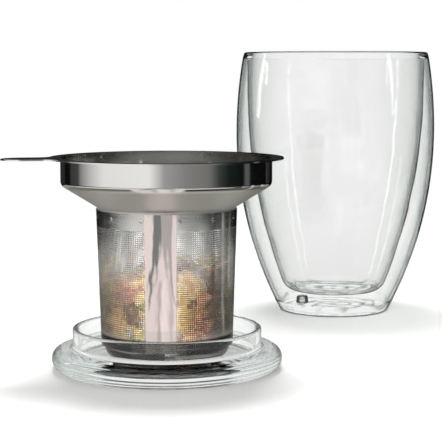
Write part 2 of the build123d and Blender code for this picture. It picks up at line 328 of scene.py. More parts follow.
def stainless(name, colour, roughness, grain, grain_depth, waves=14.0, waves_depth=0.0, satin=None,
              low_shade=None, painted_highlight=None):
    """Stainless steel. grain is the pitch of its turning marks, drawn as coarse as they need to show: they
    run round the infuser. waves is the slow unevenness of a thin sheet, which makes its reflections waver.
    satin is the height below which it is left brushed, and stain is its colour below SHADED_BELOW, which
    paints its lowest part darker as painted shade. streak is the colour of long bright smears round it, which
    are painted highlights. Sizes in mm."""
    material, tree = new_material(name)
    centred = from_the_axis(tree)
    apart = add(tree, "SeparateXYZ", {"Vector": centred})
    flat = add(tree, "CombineXYZ", {"X": apart.outputs["X"], "Y": apart.outputs["Y"]})
    out = add(tree, "VectorMath", {0: flat}, operation="LENGTH")
    turn = add(tree, "Math", {0: apart.outputs["X"], 1: apart.outputs["Y"]}, operation="ARCTAN2")
    along = add(tree, "Math", {0: turn, 1: 2 * MM}, operation="MULTIPLY")
    rings = add(tree, "CombineXYZ", {"X": out.outputs["Value"], "Y": along, "Z": apart.outputs["Z"]})
    marks = add(tree, "TexNoise", {
        "Vector": rings, "Scale": 1 / (grain * MM), "Detail": 3.0, "Roughness": 0.6})
    sheet_waves = add(tree, "Mapping", {"Vector": centred, "Scale": (1, 1, 0.3)})
    sheet = add(tree, "TexNoise", {"Vector": sheet_waves, "Scale": 1 / (waves * MM), "Detail": 1.0})
    wave_bump = add(tree, "Bump", {"Height": sheet, "Strength": 1.0, "Distance": waves_depth * MM})
    mark_bump = add(tree, "Bump", {
        "Height": marks, "Strength": 1.0, "Distance": grain_depth * MM, "Normal": wave_bump})
    finish = add(tree, "MapRange", {"Value": marks, "To Min": roughness * 0.6, "To Max": roughness * 1.4})
    if satin:
        brushed = add(tree, "MapRange", {
            "Value": apart.outputs["Z"], "From Min": (satin - 0.8) * MM, "From Max": (satin + 0.4) * MM,
            "To Min": SATIN, "To Max": 0.0})
        finish = add(tree, "Math", {0: finish, 1: brushed}, operation="ADD")
    base = linear(colour)
    # Painted shade: darker below SHADED_BELOW.
    if low_shade:
        low = add(tree, "MapRange", {
            "Value": apart.outputs["Z"],
            "From Min": (SHADED_BELOW + 0.4) * MM, "From Max": (SHADED_BELOW - 0.4) * MM})
        base = add(tree, "Mix", {"Factor": low, 6: base, 7: linear(low_shade)}, data_type="RGBA").outputs[2]
    # Painted highlights: long bright smears mixed into the colour.
    if painted_highlight:
        highlight_patches = add(tree, "TexNoise", {"Vector": rings, "Scale": 1 / (HIGHLIGHT_PITCH * MM), "Detail": 1.0})
        bright = add(tree, "MapRange", {"Value": highlight_patches, "From Min": 0.52, "From Max": 0.62})
        base = add(tree, "Mix", {"Factor": bright, 6: base, 7: linear(painted_highlight)}, data_type="RGBA").outputs[2]
    steel = add(tree, "BsdfPrincipled", {
        "Base Color": base, "Metallic": 1.0, "Roughness": finish, "Normal": mark_bump})
    add(tree, "OutputMaterial", {"Surface": steel})
    return material


def dried_leaf(name, dark, middle, light, blotch=2.2):
    """Dried leaf or petal: matt, with its own blotchy tone. The blotches follow its bump, darker in the
    hollows and paler on the rises, which is painted shade and light. blotch is in mm.
    """
    material, tree = new_material(name)
    place = add(tree, "TexCoord")
    patches = add(tree, "TexNoise", {
        "Vector": place.outputs["Object"], "Scale": 1 / (blotch * MM), "Detail": 4.0, "Roughness": 0.7})
    colour = add(tree, "ValToRGB", {"Fac": patches}, stops=((0.30, dark), (0.72, light), (0.50, middle)))
    bump = add(tree, "Bump", {"Height": patches, "Strength": 0.8, "Distance": 0.25 * MM})
    leaf = add(tree, "BsdfPrincipled", {"Base Color": colour, "Roughness": 0.62, "Normal": bump})
    add(tree, "OutputMaterial", {"Surface": leaf})
    return material


# ------------------------------------------------------------- mesh kit ----
def rounded(corners, steps=6):
    """Outline, in mm, through corners (radius, height, rounding), with each rounded corner as an arc.
    A point just off each end of an arc keeps the shading of the straight run beside it straight."""
    points = []
    for index, (radius, height, rounding) in enumerate(corners):
        here = Vector((radius, height))
        if not rounding:
            points.append(here)
            continue
        back = (Vector(corners[index - 1][:2]) - here).normalized()
        ahead = (Vector(corners[index + 1][:2]) - here).normalized()
        half = back.angle(ahead) / 2
        reach = rounding / tan(half)
        centre = here + (back + ahead).normalized() * rounding / sin(half)
        start = here + back * reach - centre
        end = here + ahead * reach - centre
        points.append(here + back * (reach + SHADING_GUARD))
        points += [centre + start.slerp(end, step / steps) * rounding for step in range(steps + 1)]
        points.append(here + ahead * (reach + SHADING_GUARD))
    return points


def draw(bm, outline, axis, closed=False):
    """An outline of (radius, height) points, in mm, beside an upright axis."""
    verts = [bm.verts.new(((axis.x + p.x) * MM, axis.y * MM, p.y * MM)) for p in outline]
    edges = [bm.edges.new(pair) for pair in zip(verts, verts[1:])]
    if closed:
        edges.append(bm.edges.new((verts[-1], verts[0])))
    return verts + edges


def spin(bm, geom, axis):
    """Turns drawn outlines all the way round their axis."""
    bmesh.ops.spin(bm, geom=geom, cent=axis * MM, axis=(0, 0, 1), angle=2 * pi, steps=SPIN_STEPS,
                   use_merge=True)


def tidy(bm):
    """Merges what a spin leaves double on the axis, and turns all faces outwards."""
    bmesh.ops.remove_doubles(bm, verts=bm.verts, dist=0.002 * MM)
    bmesh.ops.recalc_face_normals(bm, faces=bm.faces)


def linked(name, bm, material):
    """Turns a mesh into a smooth object of one material, in the scene."""
    mesh = bpy.data.meshes.new(name)
    bm.to_mesh(mesh)
    bm.free()
    mesh.polygons.foreach_set("use_smooth", [True] * len(mesh.polygons))
    mesh.materials.append(material)
    made = bpy.data.objects.new(name, mesh)
    bpy.context.scene.collection.objects.link(made)
    return made


def finished(name, bm, material, body, replaces, sharp=35.0):
    """Makes a piece of the set from a mesh, with edges past sharp degrees sharp, and gives it to its body."""
    piece = linked(name, bm, material)
    piece.data.set_sharp_from_angle(angle=radians(sharp))
    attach(piece, body)
    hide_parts(*replaces)
    return piece


def heights(start, end, count):
    """count + 1 heights from start to end."""
    return [start + (end - start) * index / count for index in range(count + 1)]


# ----------------------------------------------------------------- mug ----
def mug():
    """Both walls as one skin of glass, fused at the rim, and the sealed gap as a second skin inside it."""
    foot_top = 2 * FOOT_CORNER
    outside = rounded([(0, 0, 0), (FOOT_RADIUS, 0, FOOT_CORNER), (mug_radius(foot_top, 0), foot_top, 0)])
    outside += [Vector((mug_radius(z, 0), z)) for z in heights(foot_top, MUG_HEIGHT - RIM_HEIGHT, 40)[1:]]
    mouth = LINER_RADIUS - LINER_WALL
    outside += rounded([(RIM_RADIUS, MUG_HEIGHT - RIM_HEIGHT, 0), (RIM_RADIUS, MUG_HEIGHT, 1.0),
                        (mouth, MUG_HEIGHT, 0.6), (mouth, MUG_HEIGHT - RIM_HEIGHT, 0)])[1:]
    inner_foot = liner_low.z + LINER_WALL
    heel_top = inner_foot + LINER_CORNER
    outside += [Vector((liner_radius(z, LINER_WALL), z))
                for z in heights(MUG_HEIGHT - LINER_TOP, heel_top, 36)]
    outside += rounded([(liner_radius(heel_top, LINER_WALL), heel_top, 0),
                        (liner_radius(inner_foot, LINER_WALL), inner_foot, LINER_CORNER - LINER_WALL),
                        (0, inner_foot, 0)], steps=10)[1:]
    fuse = MUG_HEIGHT - FUSE_HEIGHT
    gap = rounded([(0, FOOT_THICKNESS, 0), (mug_radius(FOOT_THICKNESS, OUTER_WALL), FOOT_THICKNESS, 0.5),
                   (mug_radius(GAP_FOOT, OUTER_WALL), GAP_FOOT, 0)])
    gap += [Vector((mug_radius(z, OUTER_WALL), z)) for z in heights(GAP_FOOT, fuse, 40)[1:]]
    gap += [Vector((liner_radius(z, 0), z)) for z in heights(fuse, liner_low.z + LINER_CORNER, 40)]
    gap += rounded([(liner_radius(liner_low.z + LINER_CORNER, 0), liner_low.z + LINER_CORNER, 0),
                    (liner_radius(liner_low.z, 0), liner_low.z, LINER_CORNER), (0, liner_low.z, 0)],
                   steps=10)[1:]
    bm = bmesh.new()
    spin(bm, draw(bm, outside, MUG_AXIS), MUG_AXIS)
    tidy(bm)
    skin = set(bm.faces)
    spin(bm, draw(bm, gap, MUG_AXIS), MUG_AXIS)
    inside = [face for face in bm.faces if face not in skin]
    bmesh.ops.remove_doubles(bm, verts=list({v for face in inside for v in face.verts}), dist=0.002 * MM)
    inside = [face for face in bm.faces if face not in skin]
    bmesh.ops.recalc_face_normals(bm, faces=inside)
    bmesh.ops.reverse_faces(bm, faces=inside)
    finished("mug_glass", bm, blown_glass, "mug", ("outer_glass", "inner_glass"))


def vent_drop():
    """The drop of glass that seals the gap: a low nub with a pit where the tip was pulled away."""
    low, high = (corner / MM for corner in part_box("vent_seal"))
    axis = Vector(((low.x + high.x) / 2, (low.y + high.y) / 2, 0.0))
    radius = (high.x - low.x) / 2
    foot = low.z + 0.05
    bm = bmesh.new()
    spin(bm, draw(bm, rounded([(0, foot, 0), (radius, foot, 0.5), (radius * 0.86, high.z, 0.9),
                               (radius * 0.34, high.z, 0.6), (0, high.z - 1.6, 0)]), axis), axis)
    tidy(bm)
    finished("vent_drop", bm, sealed_glass, "mug", ("vent_seal",))


# ----------------------------------------------------------------- lid ----
def lid():
    """Disc and collar as one pressed piece: a fat rounded edge, and a collar that flares into the disc."""
    flat = LID_RADIUS - LID_WIDEST
    shoulder = LID_RADIUS - LID_SHOULDER_INSET
    flare_top = disc_high.z
    bore = COLLAR_RADIUS - COLLAR_WALL
    edge_arc = arc_radius(LID_SHOULDER_INSET, LID_SHOULDER_HEIGHT - LID_WIDEST)
    outline = rounded([(0, 0, 0), (LID_RADIUS, 0, LID_RADIUS - flat), (LID_RADIUS, LID_WIDEST, 0)],
                      steps=12)[:-2]
    outline += [Vector((LID_RADIUS - edge_arc + sqrt(edge_arc ** 2 - (z - LID_WIDEST) ** 2), z))
                for z in heights(LID_WIDEST, LID_SHOULDER_HEIGHT - 0.4, 8)[1:]]
    outline += rounded([(shoulder + 0.6, LID_SHOULDER_HEIGHT - 0.5, 0), (shoulder, LID_SHOULDER_HEIGHT, 0.8),
                        (COLLAR_RADIUS, flare_top - LID_FLARE, LID_FLARE),
                        (COLLAR_RADIUS, ring_high.z, COLLAR_ROUND),
                        (bore, ring_high.z, COLLAR_ROUND),
                        (bore, ring_low.z, DISH_CORNER),
                        (0, ring_low.z, 0)], steps=8)[1:]
    bm = bmesh.new()
    spin(bm, draw(bm, outline, TEA_AXIS), TEA_AXIS)
    tidy(bm)
    finished("lid_glass", bm, pressed_glass, "lid", ("lid_disc", "lid_collar"))


# ------------------------------------------------------------- infuser ----
def drawn_sheet(name, corners, sheet, material, replaces):
    """A spun shell of sheet steel whose outside follows the corners."""
    bm = bmesh.new()
    spin(bm, draw(bm, rounded(corners), TEA_AXIS), TEA_AXIS)
    tidy(bm)
    bmesh.ops.solidify(bm, geom=bm.faces, thickness=sheet * MM)
    finished(name, bm, material, "infuser", replaces)


def funnel():
    """Collar, cone and neck, drawn from one sheet."""
    neck = screen_radius(screen_high.z) - SCREEN_SHEET
    drawn_sheet("infuser_funnel", [
        (FUNNEL_RADIUS, funnel_high.z, 0),
        (FUNNEL_RADIUS, COLLAR_FOOT, COLLAR_BEND),
        (neck, screen_high.z + NECK_BEND, NECK_BEND),
        (screen_radius(funnel_low.z) - SCREEN_SHEET, funnel_low.z, 0),
    ], SHEET, spun_steel, ("funnel",))


def foot_cup():
    """The plain cup that closes the screen's lower end."""
    step = screen_low.z
    drawn_sheet("infuser_foot_cup", [
        (0, cup_low.z, 0),
        (CUP_RADIUS, cup_low.z, CUP_CORNER),
        (CUP_RADIUS, step, CUP_BEND),
        (screen_radius(step + CUP_JOGGLE) - SCREEN_SHEET, step + CUP_JOGGLE, CUP_BEND),
        (screen_radius(step + CUP_LAP) - SCREEN_SHEET, step + CUP_LAP, 0),
    ], CUP_SHEET, cup_steel, ("foot_cup",))


def screen():
    """The etched sheet: plain edges, hoops between the rows of holes, and a bar between every two holes."""
    bm = bmesh.new()
    band_foot = screen_high.z - BAND
    hem_top = screen_low.z + HEM
    bars = int(2 * pi * (SCREEN_TOP - SCREEN_TAPER / 2) / HOLE_PITCH)
    bar = bmesh.ops.create_cube(bm, size=1.0)["verts"]
    skin = 0.01
    for vert in bar:
        height = band_foot + 0.1 if vert.co.z > 0 else hem_top - 0.1
        reach = screen_radius(height) - (skin if vert.co.x > 0 else SCREEN_SHEET - skin)
        vert.co = Vector(((TEA_AXIS.x + reach) * MM, (TEA_AXIS.y + vert.co.y * HOOP) * MM, height * MM))
    geom = bar + list({e for v in bar for e in v.link_edges}) + list({f for v in bar for f in v.link_faces})
    bmesh.ops.spin(bm, geom=geom, cent=TEA_AXIS * MM, axis=(0, 0, 1), angle=2 * pi * (bars - 1) / bars,
                   steps=bars - 1, use_duplicate=True)

    rows = int((band_foot - hem_top) / HOLE_PITCH)
    pitch = (band_foot - hem_top) / rows
    middles = [hem_top + row * pitch for row in range(1, rows)]
    sections = [(screen_low.z, hem_top), (band_foot, screen_high.z)]
    sections += [(middle - HOOP / 2, middle + HOOP / 2) for middle in middles]
    hoops = []
    for low, high in sections:
        foot, top = screen_radius(low), screen_radius(high)
        corners = ((foot - SCREEN_SHEET, low), (foot, low), (top, high), (top - SCREEN_SHEET, high))
        hoops += draw(bm, [Vector(corner) for corner in corners], TEA_AXIS, closed=True)
    spin(bm, hoops, TEA_AXIS)
    bmesh.ops.recalc_face_normals(bm, faces=bm.faces)
    finished("infuser_screen", bm, etched_steel, "infuser", ("basket_screen",))


def seam():
    """The plain lapped edge of the etched sheet, down the front."""
    turn = degrees(SEAM_WIDTH / SCREEN_TOP)
    bm = bmesh.new()
    gap = 0.1
    rows = heights(screen_low.z, screen_high.z, 16)
    line = draw(bm, [Vector((screen_radius(z) + gap + SCREEN_SHEET, z)) for z in rows], TEA_AXIS)
    bmesh.ops.spin(bm, geom=line, cent=TEA_AXIS * MM, axis=(0, 0, 1), angle=radians(turn), steps=12)
    bmesh.ops.rotate(bm, verts=bm.verts, cent=TEA_AXIS * MM,
                     matrix=Matrix.Rotation(radians(SEAM_ANGLE - turn / 2), 3, "Z"))
    bmesh.ops.recalc_face_normals(bm, faces=bm.faces)
    if bm.faces[0].normal.dot(bm.faces[0].calc_center_median() - TEA_AXIS * MM) < 0:
        bmesh.ops.reverse_faces(bm, faces=bm.faces)
    bmesh.ops.solidify(bm, geom=bm.faces, thickness=SCREEN_SHEET * MM)
    finished("infuser_seam", bm, seam_steel, "infuser", ("seam_lap",))


def welds():
    """Spot welds below the screen's top edge: low domes."""
    height = (welds_low.z + welds_high.z) / 2
    reach = screen_radius(height)
    bm = bmesh.new()
    for index in range(WELDS):
        turn = radians(SEAM_ANGLE + (index + 0.5) * 360 / WELDS)
        dome = bmesh.ops.create_uvsphere(bm, u_segments=12, v_segments=6, radius=WELD_RADIUS * MM)["verts"]
        bmesh.ops.scale(bm, verts=dome, vec=(0.2, 1, 1))
        place = Matrix.Translation(TEA_AXIS * MM) @ Matrix.Rotation(turn, 4, "Z")
        place = place @ Matrix.Translation((reach * MM, 0, height * MM))
        bmesh.ops.transform(bm, verts=dome, matrix=place)
    finished("infuser_welds", bm, mirror_steel, "infuser", ("spot_welds",))


# ----------------------------------------------------------------- tea ----
TEA_CLEARANCE = 0.35           # from the steel to the nearest leaf
TEA_SLOPE = tan(radians(8.0))  # the heap is higher on the right
TEA_MIDDLE = 36.4              # its height on the axis
TEA_LUMP = 2.4                 # how far its top goes up and down
TEA_LUMP_PITCH = 9.0
TOP_REACH = 23.5               # how far from the axis leaves lie on top
HEAP_FOOT_RADIUS = 16.0        # of the body of the heap, under the leaves
HEAP_SIDE_FOOT = 4.5
HEAP_SIDE_TOP = 30.0
HEAP_TOP_RADIUS = 21.0
HEAP_INSET = 1.6               # from the outermost leaves to its sides
HEAP_DEPTH = 2.2               # from the top of the tea to its top
HEAP_MIDDLE = 20.0             # its sides are roughened away from here
HEAP_ROUGHNESS = 0.7
LEAF_SHEET = 0.16


def tea_limit(height):
    """How far out a leaf may reach at a height, in mm."""
    if height < screen_low.z + CUP_LAP:
        return CUP_RADIUS - CUP_SHEET - TEA_CLEARANCE
    return screen_radius(height) - SCREEN_SHEET - TEA_CLEARANCE


def tea_top(x, y):
    """Height of the tea, in mm, at a place beside its axis."""
    lump = noise.noise(Vector((x, y, 3.0)) / TEA_LUMP_PITCH)
    return TEA_MIDDLE + x * TEA_SLOPE + TEA_LUMP * lump


def tea_heap():
    """The body of the heap, a little inside the leaves that cover it."""
    bm = bmesh.new()
    outline = [Vector((radius, tea_low.z + 0.4)) for radius in heights(0, HEAP_FOOT_RADIUS, 3)]
    outline += [Vector((tea_limit(z) - HEAP_INSET, z))
                for z in heights(tea_low.z + HEAP_SIDE_FOOT, HEAP_SIDE_TOP, 14)]
    outline += [Vector((radius, HEAP_SIDE_TOP + 1)) for radius in heights(HEAP_TOP_RADIUS, 0, 8)]
    spin(bm, draw(bm, outline, TEA_AXIS), TEA_AXIS)
    tidy(bm)
    middle = (TEA_AXIS + Vector((0, 0, HEAP_MIDDLE))) * MM
    for vert in bm.verts:
        place = vert.co / MM - TEA_AXIS
        if place.z > HEAP_SIDE_TOP + 0.5:
            vert.co.z = (tea_top(place.x, place.y) - HEAP_DEPTH) * MM
        rough = noise.noise(place / 2.0) * HEAP_ROUGHNESS
        vert.co += (vert.co - middle).normalized() * rough * MM
    finished("tea_heap", bm, crumbs_and_gap_shade, "tea", ("tea_leaves",), sharp=180.0)


def put_leaf(bm, chance, length, width, turn, height, inset):
    """One curled leaf, length by width in mm. turn is in degrees from the front. It lies against the screen,
    inset from it, or with no inset anywhere on top of the heap."""
    sheet = bmesh.ops.create_grid(bm, x_segments=6, y_segments=2, size=0.5)["verts"]
    bend = chance.uniform(0.1, 0.4)
    fold = chance.uniform(-0.3, 0.6)
    twist = chance.uniform(-0.8, 0.8)
    seed = Vector((chance.random(), chance.random(), chance.random())) * 50
    round_axis = radians(turn - 90)
    if inset is None:
        reach = TOP_REACH * sqrt(chance.random())
        height = tea_top(reach * cos(round_axis), reach * sin(round_axis)) + chance.uniform(-2.5, 0.8)
        roll = Matrix.Rotation(chance.uniform(-0.5, 0.5), 4, "X")
        lean = roll @ Matrix.Rotation(chance.uniform(-0.5, 0.5), 4, "Y")
    else:
        reach = tea_limit(height) - inset
        lean = Matrix.Rotation(pi / 2, 4, "Y") @ Matrix.Rotation(chance.uniform(-0.3, 0.3), 4, "Y")
    spun = Matrix.Rotation(chance.uniform(0, 2 * pi), 4, "Z")
    place = Matrix.Rotation(round_axis, 4, "Z") @ Matrix.Translation((reach, 0, height)) @ lean @ spun
    for vert in sheet:
        along, across = vert.co.x, vert.co.y
        taper = max(0.12, cos(pi * along)) ** 0.7
        crumple = noise.noise(Vector((along, across, 0)) * 3 + seed) * 0.35 * width
        angle = twist * along
        side = across * width * taper
        curl = fold * width * across ** 2 + crumple
        local = Vector((along * length, side * cos(angle),
                        side * sin(angle) - bend * length * along ** 2 + curl))
        spot = place @ local
        spot.z = max(spot.z, tea_low.z + 0.3)
        spot.z = min(spot.z, tea_top(spot.x, spot.y) + 1.6)
        out = Vector((spot.x, spot.y))
        if out.length > tea_limit(spot.z):
            out *= tea_limit(spot.z) / out.length
        vert.co = (Vector((out.x, out.y, spot.z)) + TEA_AXIS) * MM


def leaves(name, material, seed, length, width, drifts, loose):
    """One kind of leaf or petal, with the seed of its chances, and lengths and widths in mm. drifts are the
    places where it has gathered at the screen: (degrees from the front, height, spread in degrees, spread in
    height, count). loose more lie anywhere round the screen, and as many again on top."""
    chance = random.Random(seed)
    bm = bmesh.new()

    def put(turn, height, inset):
        put_leaf(bm, chance, chance.uniform(*length), chance.uniform(*width), turn, height, inset)

    for turn, height, turn_spread, rise_spread, count in drifts:
        for _ in range(count):
            put(chance.gauss(turn, turn_spread), chance.gauss(height, rise_spread), chance.uniform(0.1, 1.3))
    for _ in range(loose):
        put(chance.uniform(0, 360), chance.uniform(tea_low.z + 3, TEA_MIDDLE), chance.uniform(0.6, 3.0))
        put(chance.uniform(0, 360), 0, None)
    bmesh.ops.recalc_face_normals(bm, faces=bm.faces)
    piece = finished(name, bm, material, "tea", ("tea_leaves",), sharp=60.0)
    piece.modifiers.new("thickness", "SOLIDIFY").thickness = LEAF_SHEET * MM


# ------------------------------------------------------------ materials ----
# Blown borosilicate tube: colourless, with a slow ripple from the blowing; its thin dark outlines and darker
# rim are painted shade.
blown_glass = clear_glass(
    "blown_borosilicate", ((0.0, "#FDFDFD"), (1.0, "#000000"), (0.50, "#FCFDFC"), (0.70, "#ECF2EF"),
                           (0.78, "#6A746F"), (0.84, "#0A0E0C")),
    "#F4F6F5", "#F0F1F0", ripple=16.0, ripple_depth=0.25, level_from=(0.9965, 0.9995),
    rim=MUG_HEIGHT - 0.3, swirl=7.0)
# The drop that seals it was melted shut, so it is thick; its dark edges are painted shade.
sealed_glass = clear_glass(
    "melted_borosilicate", ((0.0, "#FFFFFF"), (1.0, "#000000"), (0.05, "#E4E8E6"), (0.15, "#020303")),
    "#E8EAE9", "#606060", ripple=2.0, ripple_depth=0.1, hidden_inside=True)
# Pressed borosilicate: thick, so that its faint green shows. Its dark edges and the darker top of its collar
# are painted shade.
pressed_glass = clear_glass(
    "pressed_borosilicate", ((0.0, "#FEFEFE"), (1.0, "#141A18"), (0.78, "#FAFCFB"), (0.90, "#7E8884")),
    "#FAFBFA", "#9EA4A2", ripple=12.0, ripple_depth=0.07, rim=ring_high.z, body="#DAE2DE")
# Spun and polished stainless steel: a near mirror with faint turning marks, brushed below the collar.
spun_steel = stainless("spun_stainless", "#DAD9D6", 0.08, grain=0.9, grain_depth=0.0015, satin=COLLAR_FOOT)
# Polished stainless strip: a near mirror.
mirror_steel = stainless("polished_stainless", "#DAD9D6", 0.09, grain=1.2, grain_depth=0.002)
# The cup is drawn stainless, coloured near black as painted shade, with bright smears that are painted
# highlights.
cup_steel = stainless("drawn_stainless_painted_light", "#0C0C0D", 0.12, grain=3.0, grain_depth=0.02, waves=5.0,
                      waves_depth=0.2, painted_highlight="#A4A4A0")
# The rolled sheet's plain edge wavers between its welds. Its pinkish white is a painted reflection, and its
# lowest part is painted shade.
seam_steel = stainless("rolled_stainless", "#EFE6E3", 0.07, grain=2.0, grain_depth=0.002,
                       waves=3.4, waves_depth=0.15, low_shade="#62625E")
# Etched sheet: the acid leaves a satin skin round each hole. Its lowest part is painted shade.
etched_steel = stainless("etched_stainless", "#E8E7E4", 0.16, grain=0.8, grain_depth=0.002,
                         waves=9.0, waves_depth=0.3, low_shade="#282A2A")
# Crumbs of leaf between the whole ones: dull brown, partly their own colour and partly painted shade that
# makes the gaps between leaves look deep.
crumbs_and_gap_shade = dried_leaf("crumbs_and_gap_shade", "#2A2018", "#5A4630", "#8A7240", blotch=1.6)
# Whole dried leaves, peel and petals: matt, and each with its own hue, so that the tea looks mixed.
brown_leaf = dried_leaf("brown_tea_leaf", "#5A4032", "#8E6C54", "#BC9A78")
green_leaf = dried_leaf("green_tea_leaf", "#7A7C48", "#ACAA66", "#DAD890")
orange_peel = dried_leaf("orange_peel", "#C8895A", "#E8B284", "#F8D8B4")
red_petal = dried_leaf("hibiscus_petal", "#964E4A", "#CC8076", "#EABAAE")
violet_petal = dried_leaf("cornflower_petal", "#76748E", "#A6A6BC", "#D0D0E0")
yellow_petal = dried_leaf("marigold_petal", "#C8A058", "#EACC88", "#FBECC4")

# --------------------------------------------------------------- pieces ----
mug()
vent_drop()
lid()
funnel()
foot_cup()
screen()
seam()
welds()
tea_heap()
leaves("tea_brown_leaves", brown_leaf, 2, (4, 8), (2, 3.5),
       ((-52, 16, 13, 5, 18), (44, 28, 9, 7, 26), (64, 24, 12, 9, 24), (-30, 24, 5, 4, 6)), 34)
leaves("tea_green_leaves", green_leaf, 1, (5, 10), (2.5, 5),
       ((-60, 29, 10, 6, 26), (-32, 14, 14, 3, 24), (-16, 24, 4, 5, 6), (58, 30, 8, 6, 8)), 26)
leaves("tea_orange_peel", orange_peel, 4, (5, 9), (3, 5.5),
       ((-32, 38, 7, 2, 16), (27, 27, 6, 9, 26), (-40, 20, 8, 4, 14)), 34)
leaves("tea_red_petals", red_petal, 5, (4, 9), (3, 5),
       ((-36, 32, 8, 3, 16), (32, 14, 8, 3, 22), (-56, 15, 10, 5, 12), (-56, 36, 9, 2, 8)), 26)
leaves("tea_violet_petals", violet_petal, 6, (4, 7), (2, 3),
       ((26, 40, 5, 1, 4), (56, 40, 9, 1.5, 8), (-28, 22, 5, 4, 2)), 5)
leaves("tea_yellow_petals", yellow_petal, 3, (5, 10), (3, 5.5),
       ((-20, 37, 6, 2, 18), (-32, 14, 12, 5, 24), (15, 27, 4, 10, 40), (-18, 22, 4, 4, 8)), 38)

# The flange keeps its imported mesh.
flange = frame["nodes"]["rim_flange"]
flange.data.materials.clear()
flange.data.materials.append(mirror_steel)


# --------------------------------------------------------------- studio ----
FLOOR_RADIUS = 3.0
TENT_RADIUS = 0.6
TENT_HEIGHT = 0.42
TENT_BACK = 0.3                # the tent is dark past this, along +Y
SOFT_WHITE = (0.27, 0.27, 0.27, 1)  # the world's light on matt surfaces, in linear terms
CAMERA_PLACE = (-0.0528, -0.665, 0.110)
CAMERA_DIP = 5.9               # degrees below level
CAMERA_LENS = 116.6            # in mm, on a sensor 36 mm wide
SET_MIDDLE = (-0.04, -0.08, 0.05)    # lamps point here
MUG_SHOULDER = (0.0, 0.0, 0.10)      # or here


def round_the_axis(tree):
    """How far round the infuser's axis a place is, in degrees from the front, and how far out, in metres."""
    centred = from_the_axis(tree)
    apart = add(tree, "SeparateXYZ", {"Vector": centred})
    toward = add(tree, "Math", {0: apart.outputs["Y"], 1: -1.0}, operation="MULTIPLY")
    turn = add(tree, "Math", {0: apart.outputs["X"], 1: toward}, operation="ARCTAN2")
    in_degrees = add(tree, "Math", {0: turn, 1: 180 / pi}, operation="MULTIPLY")
    out = add(tree, "VectorMath", {0: centred}, operation="LENGTH")
    return in_degrees, out.outputs["Value"]


def card_shades(tree, turn, cards):
    """Greys round the set. cards are (degrees from the front, grey), from -180 to 180."""
    share = add(tree, "Math", {0: turn, 1: 1 / 360, 2: 0.5}, operation="MULTIPLY_ADD")
    ordered = [cards[0], cards[-1]] + list(cards[1:-1])
    return add(tree, "ValToRGB", {"Fac": share},
               stops=[((angle + 180) / 360, colour) for angle, colour in ordered])


# What steel sees lying on the floor, round the set: under its lid, close to it, further off, and furthest.
UNDER_CARDS = (
    (-180, "#B9B8B2"), (-33, "#B9B8B2"), (-29, "#F4ECEA"), (-13, "#EFE6E4"), (-9, "#CBC0C0"), (-4, "#FFFAF8"),
    (5, "#F4ECEA"), (9, "#D6CCCC"), (13, "#F4ECEA"), (17, "#F4ECEA"), (21, "#B9B8B2"), (180, "#B9B8B2"),
)
CLOSE_CARDS = (
    (-180, "#7E7A74"), (-118, "#86827A"), (-104, "#868278"), (-60, "#827E76"), (-36, "#7E7A72"),
    (-31, "#F4ECEA"), (-15, "#EFE6E4"), (-10, "#C4B9B9"), (-5, "#FFFAF8"), (4, "#F4ECEA"), (8, "#CFC5C5"),
    (12, "#F8F2F0"), (18, "#F4ECEA"), (22, "#46423C"), (60, "#4C4842"), (78, "#66625A"),
    (101, "#66645E"), (104, "#E8E8E8"), (108, "#66645E"), (180, "#7E7A74"),
)
MIDDLE_CARDS = (
    (-180, "#A2A4A2"), (-118, "#A8AAA8"), (-110, "#B0B2B0"), (-104, "#C8CAC8"), (-84, "#E8EAE8"),
    (-50, "#FCFCFA"), (-31, "#F4ECEA"), (18, "#F4ECEA"), (22, "#F8FAF8"), (60, "#DCDEDC"), (73, "#B0B2B0"),
    (78, "#585A5A"), (86, "#585A5A"), (88, "#E0E2E0"), (91, "#A0A2A2"), (101, "#787A7A"), (104, "#F8F8F8"),
    (108, "#A0A2A2"), (121, "#787A7A"), (125, "#F0F0EA"), (130, "#A0A2A2"), (180, "#A2A4A2"),
)
FAR_CARDS = (
    (-180, "#181A1A"), (-122, "#161616"), (-117, "#404040"), (-112, "#1C1C1C"), (-84, "#303030"),
    (-70, "#909090"), (-58, "#B8B8B8"), (-31, "#F0EAE8"), (18, "#F0EAE8"), (22, "#5C6462"),
    (34, "#707070"), (54, "#585858"), (62, "#0C0E0E"), (77, "#0C0E0E"), (80, "#8A8A88"), (84, "#0C0E0E"),
    (101, "#101212"), (104, "#F8F8F8"), (108, "#141414"), (121, "#101010"), (125, "#A8A8A0"),
    (130, "#0A0A0A"), (180, "#181A1A"),
)
DARK_CARDS = ((-180, "#141616"), (180, "#141616"))
# Each ring of cards, and where it takes over from the one inside it, in metres from the infuser's axis.
FLOOR_RINGS = (
    (CLOSE_CARDS, 0.08, 0.095),
    (MIDDLE_CARDS, 0.19, 0.21),
    (FAR_CARDS, 0.342, 0.354),
    (DARK_CARDS, 0.42, 0.46),
)
# Two wedges of card. Each has its place round the axis and half its width, in degrees, where it starts and
# again where it ends, and then how strongly it shows. They start and end this far from the axis, in metres.
WEDGES = ((-26, 0.6, -11.6, 6.2, 1.0), (14, 0.3, 1.1, 6.8, 0.6))
WEDGE_START = 0.145
WEDGE_END = 0.30


